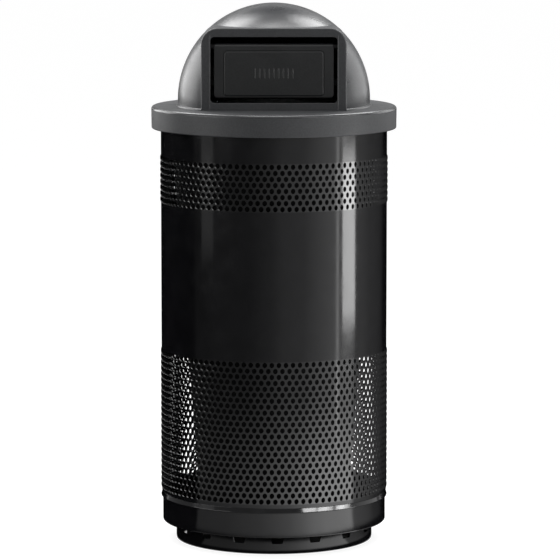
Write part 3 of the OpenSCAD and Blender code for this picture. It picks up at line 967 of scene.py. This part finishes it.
# %% Zinc plate and black oxide
# Zinc plate is a thin bright metal skin, and black oxide turns the steel's own skin dark. Both
# keep the shine of metal, and both drift in colour over a centimetre or two. The marks of rolling
# under them are drawn at 2.5 mm, and they are finer on real steel.
DRIFT, ROLL_MARKS = (14, 4), (2.5, 2)


def plated(name, dark, light):
    """A plated or blackened steel: a metal whose colour and shine drift a little."""
    return drifting(
        name, (dark, light, DRIFT), (0.26, 0.4, DRIFT), (0.02, ROLL_MARKS), Metallic=1.0
    )


zinc_plate = plated("bright zinc plate", "#a9acb0", "#bcbdbf")
black_oxide = plated("black oxide on steel", "#26272a", "#323336")

# %% [markdown]
# ## Put each piece in its place
#
# Every new piece rides on the CAD body that it belongs to and hides the CAD node it stands for.
# The pieces that only show from inside keep their CAD mesh and get a better finish.

# %% Ride, replace and dress
pieces = (
    (drum, "base", [gloss_black, matt_black, gloss_webs], "drum_steel", "drum"),
    (trim_hoop, "base", [gloss_rings], "drum_steel", "trim_hoop"),
    (base_skirt, "base", [gloss_rings], "drum_steel", "base_skirt"),
    (ring_foot, "base", [gloss_rings], "drum_steel", "ring_foot"),
    (brim, "lid", [brim_charcoal, edge_charcoal], "lid_steel", "lid_brim"),
    (dome, "lid", [satin_charcoal], "lid_steel", "dome"),
    (hood, "lid", [face_charcoal], "lid_steel", "hood"),
    # The door's darker coat is painted shade, and so is the black rubber on its tabs' ends.
    (door, "push_door", [door_charcoal_painted_shade, black_rubber_also_tab_shade], "lid_steel", "door"),
)
for piece, body, finishes, slot_name, node_name in pieces:
    for place, finish in enumerate(finishes):
        if place < len(piece.data.materials):
            piece.data.materials[place] = finish
        else:
            piece.data.materials.append(finish)
    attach(piece, body)
    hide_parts(node_name)

kept = {
    "liner": black_polyethylene, "rim_hoop": gloss_rings, "floor_plate": gloss_rings,
    "lid_ring": zinc_plate, "hinge_bracket_left": black_oxide, "hinge_bracket_right": black_oxide,
    "hinge_rod": black_oxide, "rod_cap_left": black_oxide, "rod_cap_right": black_oxide,
    "door_bumper_left": black_rubber_also_tab_shade, "door_bumper_right": black_rubber_also_tab_shade,
    "door_bush_left": black_nylon, "door_bush_right": black_nylon,
}
for node_name, finish in kept.items():
    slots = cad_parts[node_name].data.materials
    slots.clear()
    slots.append(finish)
print(f"{len(pieces)} new pieces, {len(kept)} CAD nodes kept")

# %% [markdown]
# ## Camera, floor and light
#
# The camera stands where the photograph's did: about 8 m away, a little above the lid, looking
# down by 7 degrees. From there the upright drum mirrors the floor between 1 and 7 m in front of
# it, and not the sky, so what the floor looks like there decides how the drum looks.

# %% Camera
CAMERA_AT = (0.0125, -8.05, 1.56)
CAMERA_TILT = 82.772  # degrees, where 90 looks level
deselect()
bpy.ops.object.camera_add(location=CAMERA_AT, rotation=(math.radians(CAMERA_TILT), 0, 0))
camera = bpy.context.object
camera.data.lens = 251.0
camera.data.sensor_width = 36
camera.data.clip_end = 300
bpy.context.scene.camera = camera
print("camera at", CAMERA_AT, "metres, tilted by", CAMERA_TILT, "degrees")

# %% [markdown]
# The background is white, but white paint round a black bin would light it far too much. So floor
# and world show white only to rays that look at them, from the camera, by a mirror or through a
# hole, and light the bin at a plain level.


# %% Helpers for what looks white and lights plainly
WHITE = (1, 1, 1, 1)


def cover(tree, shader):
    """Makes a shader the material's surface."""
    tree.links.new(shader, tree.nodes["Material Output"].inputs["Surface"])


def seen_mix(tree, seen, other):
    """One shader for rays that look at it, and another for the light that it passes on."""
    path = add_node(tree, "ShaderNodeLightPath").outputs
    looks = path["Is Camera Ray"]
    for kind in ("Is Glossy Ray", "Is Transmission Ray"):
        looks = add_node(
            tree, "ShaderNodeMath", {0: looks, 1: path[kind]}, operation="MAXIMUM"
        ).outputs["Value"]
    return add_node(tree, "ShaderNodeMixShader", {0: looks, 1: other, 2: seen}).outputs["Shader"]


# %% Floor
# The floor shows white to the camera, but its glow fades out under the bin: painted shade, where no
# light gets in.
FLOOR_GLOW = 0.85
DARK_TO = 170 * MM
deselect()
bpy.ops.mesh.primitive_plane_add(size=90)
floor = bpy.context.object
floor.name = "floor"
paint, tree = new_material("matt white floor paint")
matt = tree.nodes["Principled BSDF"]
matt.inputs["Base Color"].default_value = to_linear("#8c8c8c")
matt.inputs["Roughness"].default_value = 0.9
matt.inputs["Specular IOR Level"].default_value = 0.0
place = add_node(tree, "ShaderNodeTexCoord").outputs["Object"]
away = add_node(tree, "ShaderNodeVectorMath", {0: place}, operation="LENGTH").outputs["Value"]
# The glow fades to nothing inside the foot: painted shade under the bin.
under = add_node(
    tree, "ShaderNodeMapRange",
    {"Value": away, "From Min": DARK_TO, "From Max": FOOT_R - 1 * MM, "To Max": FLOOR_GLOW},
)
glow = add_node(
    tree, "ShaderNodeEmission", {"Color": WHITE, "Strength": under.outputs["Result"]}
)
both = add_node(
    tree, "ShaderNodeAddShader", {0: glow.outputs["Emission"], 1: matt.outputs["BSDF"]}
)
cover(tree, seen_mix(tree, both.outputs["Shader"], matt.outputs["BSDF"]))
floor.data.materials.append(paint)
print(f"{floor.name} of {floor.dimensions.x:.0f} m")

# %% World
WORLD_LIGHT = 0.55
world = bpy.data.worlds.new("studio")
bpy.context.scene.world = world
world.use_nodes = True
tree = world.node_tree
ambient = tree.nodes["Background"]
ambient.inputs["Color"].default_value = WHITE
ambient.inputs["Strength"].default_value = WORLD_LIGHT
white = add_node(tree, "ShaderNodeBackground", {"Color": WHITE, "Strength": 1.0})
tree.links.new(
    seen_mix(tree, white.outputs["Background"], ambient.outputs["Background"]),
    tree.nodes["World Output"].inputs["Surface"],
)
print("the world looks white and lights at", WORLD_LIGHT)

# %% [markdown]
# A black drum shows nothing but what it mirrors, and from this camera it mirrors the floor. So a
# studio lays dark and light paper on the floor around it. One ring of paper lies here, from just
# outside the foot to 40 m. Its brightness goes round with the direction: black to the left and
# behind, grey in front, white to the right. The paper glows by itself: near the bin its glow is
# stronger, a painted pool of light, and right by the foot two dark rings are painted shade. It
# shows in reflections only. Lamps could draw the same bands, but they would light the lid as well.


# %% Helpers for what shows in reflections only
def plain_light(name, strength):
    """A material that shines evenly with a strength, where 1 is white."""
    material, tree = new_material(name)
    glow = add_node(tree, "ShaderNodeEmission", {"Color": WHITE, "Strength": strength})
    cover(tree, glow.outputs["Emission"])
    return material


def only_mirrored(piece, name, material):
    """Names a stage piece, dresses it, and lets only reflections see it."""
    piece.name = name
    piece.data.materials.append(material)
    for rays in ("camera", "diffuse", "transmission", "shadow"):
        setattr(piece, f"visible_{rays}", False)


# %% Paper on the floor
# Brightness by direction, from stops of (degrees from the front, brightness).
NEAR_PAPER = (
    (-180, 0), (-87, 0), (-84, 0.3), (-50, 0.4), (-14, 0.65), (0, 0.9), (15, 1.2), (27, 1.7),
    (40, 2.5), (55, 3.0), (86, 3.0), (90, 0.8), (107, 0.5), (125, 0.15), (150, 0), (180, 0),
)
FAR_PAPER = (
    (-180, 0), (-90, 0), (-86, 0.05), (-60, 0.1), (-25, 0.12), (-2, 0.25), (9, 0.4), (31, 0.5),
    (48, 0.85), (66, 1.2), (67, 3.5), (69, 3.5), (70, 1.2), (86, 1.2), (92, 0.5), (100, 0.5),
    (114, 0.25), (131, 0.12), (150, 0), (180, 0),
)
NEAR_END, FAR_START = 0.8, 2.4  # metres
# Brightness beside the foot, from stops of (distance from the bin's middle in metres, share).
# Its two dark rings are painted shade: the bin's shadow round its foot, and a dark band that the
# top of the foot mirrors.
BY_THE_FOOT = (
    (0, 0), (0.228, 0), (0.24, 0.7), (0.32, 0.7), (0.335, 0), (0.42, 0), (0.45, 1), (0.6, 1),
)


def paper_ramp(tree, share, stops):
    """A line through stops of (place, brightness), where the share goes from first to last."""
    first, last = stops[0][0], stops[-1][0]
    top = max(value for _, value in stops)
    node = add_node(tree, "ShaderNodeFloatCurve", {"Value": share})
    curve = node.mapping.curves[0]
    for stop, value in stops[1:-1]:
        curve.points.new((stop - first) / (last - first), value / top)
    curve.points[0].location = (0, stops[0][1] / top)
    curve.points[-1].location = (1, stops[-1][1] / top)
    for point in curve.points:
        point.handle_type = "VECTOR"
    node.mapping.update()
    scaled = add_node(
        tree, "ShaderNodeMath", {0: node.outputs["Value"], 1: top}, operation="MULTIPLY"
    )
    return scaled.outputs["Value"]


paper, tree = new_material("grey paper on the floor")
place = add_node(tree, "ShaderNodeTexCoord").outputs["Object"]
# A radial gradient counts from +X, and directions here count from -Y, so it is turned.
turned = add_node(
    tree, "ShaderNodeMapping", {"Vector": place, "Rotation": (0, 0, math.pi / 2)}
).outputs["Vector"]
direction = add_node(
    tree, "ShaderNodeTexGradient", {"Vector": turned}, gradient_type="RADIAL"
).outputs["Fac"]
away = add_node(tree, "ShaderNodeVectorMath", {0: place}, operation="LENGTH").outputs["Value"]
# Close by, what one side of the round drum mirrors lies a little less far round than its
# direction says, so the direction grows by the drum's radius over the distance.
NEAR_GAIN = 1.15 * DRUM_R / (2 * math.pi)
centred = add_node(tree, "ShaderNodeMath", {0: direction, 1: 0.5}, operation="SUBTRACT")
half_turn = add_node(
    tree, "ShaderNodeMath", {0: centred.outputs["Value"], 1: math.pi}, operation="MULTIPLY"
)
sideways = add_node(tree, "ShaderNodeMath", {0: half_turn.outputs["Value"]}, operation="SINE")
share = add_node(
    tree, "ShaderNodeMath", {0: sideways.outputs["Value"], 1: away}, operation="DIVIDE"
)
direction = add_node(
    tree, "ShaderNodeMath", {0: share.outputs["Value"], 1: NEAR_GAIN, 2: direction},
    operation="MULTIPLY_ADD",
).outputs["Value"]
far = add_node(
    tree, "ShaderNodeMapRange", {"Value": away, "From Min": NEAR_END, "From Max": FAR_START},
    interpolation_type="SMOOTHSTEP",
).outputs["Result"]
strength = add_node(
    tree, "ShaderNodeMix",
    {"Factor": far, "A": paper_ramp(tree, direction, NEAR_PAPER),
     "B": paper_ramp(tree, direction, FAR_PAPER)},
).outputs["Result"]
beside = add_node(
    tree, "ShaderNodeMapRange", {"Value": away, "From Min": 0, "From Max": BY_THE_FOOT[-1][0]}
).outputs["Result"]
strength = add_node(
    tree, "ShaderNodeMath", {0: strength, 1: paper_ramp(tree, beside, BY_THE_FOOT)},
    operation="MULTIPLY",
).outputs["Value"]
glow = add_node(tree, "ShaderNodeEmission", {"Color": WHITE, "Strength": strength})
cover(tree, glow.outputs["Emission"])

PAPER_IN, PAPER_OUT = 0.206, 40
STAGE_STEPS = 96
deselect()
bpy.ops.mesh.primitive_circle_add(vertices=STAGE_STEPS, radius=PAPER_IN, location=(0, 0, 1 * MM))
sheet = bpy.context.object
pick_all(sheet)
bpy.ops.mesh.extrude_region_move()
bpy.ops.transform.resize(value=(PAPER_OUT / PAPER_IN, PAPER_OUT / PAPER_IN, 1))
leave_edit()
bpy.ops.object.transform_apply(location=True)
only_mirrored(sheet, "paper", paper)
print(f"paper of {len(sheet.data.polygons)} faces, from {PAPER_IN} to {PAPER_OUT} m")


# %% Walls that only show in reflections
# Low, pale walls far to the left and right lift the lid's sides. A dark band over the horizon and
# a dark sheet behind the bin keep the hoop and the top of the dome dark.
LID_MIDDLE = Vector((0, 0, 0.9))


def heading(azimuth, elevation):
    """A direction. Azimuth 0 is towards the camera, and 90 is to its right."""
    a, e = math.radians(azimuth), math.radians(elevation)
    return Vector((math.sin(a) * math.cos(e), -math.cos(a) * math.cos(e), math.sin(e)))


def board(name, azimuth, elevation, distance, width, height, strength):
    """A flat board of a width and height that faces the lid."""
    direction = heading(azimuth, elevation)
    deselect()
    bpy.ops.mesh.primitive_plane_add(size=1, location=LID_MIDDLE + distance * direction)
    piece = bpy.context.object
    piece.rotation_euler = direction.to_track_quat("Z", "Y").to_euler()
    piece.scale = (width, height, 1)
    only_mirrored(piece, name, plain_light(f"board of brightness {strength}", strength))


board("wall_left", -66, 2.6, 11, 9, 1.6, 6.0)
board("wall_right", 87, 2.6, 11, 20, 1.6, 1.0)
board("dark_sheet", 180, 50, 5, 2.8, 3.6, 0.1)
BAND_R, BAND_LOW, BAND_HIGH = 42, 0.55, 17.05
deselect()
bpy.ops.mesh.primitive_cylinder_add(
    vertices=STAGE_STEPS, radius=BAND_R, depth=BAND_HIGH - BAND_LOW,
    location=(0, 0, (BAND_LOW + BAND_HIGH) / 2), end_fill_type="NOTHING",
)
only_mirrored(bpy.context.object, "dark_band", plain_light("dark band", 0.25))

# %% [markdown]
# Soft studio light comes from large area lamps. One hangs overhead, and two stand high behind the
# bin for the highlights on the dome. Two low ones light its flanks, and two strips draw the
# bright and the faint stripe down the drum. A point lamp would be simpler, but its highlight on a
# gloss coat is a hard dot.


# %% Softboxes
def softbox(name, azimuth, elevation, distance, width, height, radiance, aim=LID_MIDDLE):
    """A lamp of a width and height in metres, aimed at the bin."""
    direction = heading(azimuth, elevation)
    deselect()
    bpy.ops.object.light_add(type="AREA", location=aim + distance * direction)
    lamp = bpy.context.object
    lamp.name = name
    lamp.rotation_euler = direction.to_track_quat("Z", "Y").to_euler()
    lamp.data.shape = "RECTANGLE"
    lamp.data.size, lamp.data.size_y = width, height
    lamp.data.energy = radiance * math.pi * width * height
    lamp.visible_camera = False
    print(f"{name} lamp, {width} x {height} m")


softbox("overhead", 180, 88, 3.0, 1.6, 0.9, 10)
softbox("behind_right", 136, 50, 3.0, 1.2, 1.5, 9)
softbox("behind_left", -136, 50, 3.0, 1.2, 1.5, 9)
softbox("side_right", 126, 11, 3.0, 2.2, 1.5, 1.8)
softbox("side_left", -126, 11, 3.0, 2.2, 1.5, 3.7)
softbox("strip_right", 79.5, 0, 3.0, 0.86, 0.48, 7.5, aim=Vector((0, 0, 0.32)))
softbox("strip_left", -69, 7, 3.0, 0.75, 2.0, 0.35)

# %% [markdown]
# The flared hoop at the drum's foot leans back by 15 degrees, so it mirrors what stands low over
# the horizon, ahead and to the right. Three far lamps there make its bright, broken line.

# %% Lamps that the flared hoop mirrors
HOOP_LEAN = math.radians(15.4)
HOOP_LAMP_FAR, HOOP_LAMP_H, HOOP_LAMP_RADIANCE = 12, 0.5, 22
eye = (Vector(camera.location) - Vector((0, 0, hoop_high.z))).normalized()
for place, turn, width in (("a", 18.5, 3.0), ("b", 27.2, 3.7), ("c", 37.8, 4.0)):
    a = math.radians(turn)
    out = Vector((math.sin(a), -math.cos(a), 0))
    normal = math.cos(HOOP_LEAN) * out + Vector((0, 0, math.sin(HOOP_LEAN)))
    mirrored = 2 * normal.dot(eye) * normal - eye
    azimuth = math.degrees(math.atan2(mirrored.x, -mirrored.y))
    elevation = math.degrees(math.asin(mirrored.z))
    hoop_point = hoop_high.x * out + Vector((0, 0, (hoop_low.z + hoop_high.z) / 2))
    softbox(
        f"hoop_line_{place}", azimuth, elevation, HOOP_LAMP_FAR, width, HOOP_LAMP_H,
        HOOP_LAMP_RADIANCE, aim=hoop_point,
    )
    print(f"hoop lamp at {azimuth:.0f}, {elevation:.0f} degrees")

# %% [markdown]
# The picture is shown as it is computed, with no film look.

# %% Finish
bpy.context.scene.view_settings.view_transform = "Standard"
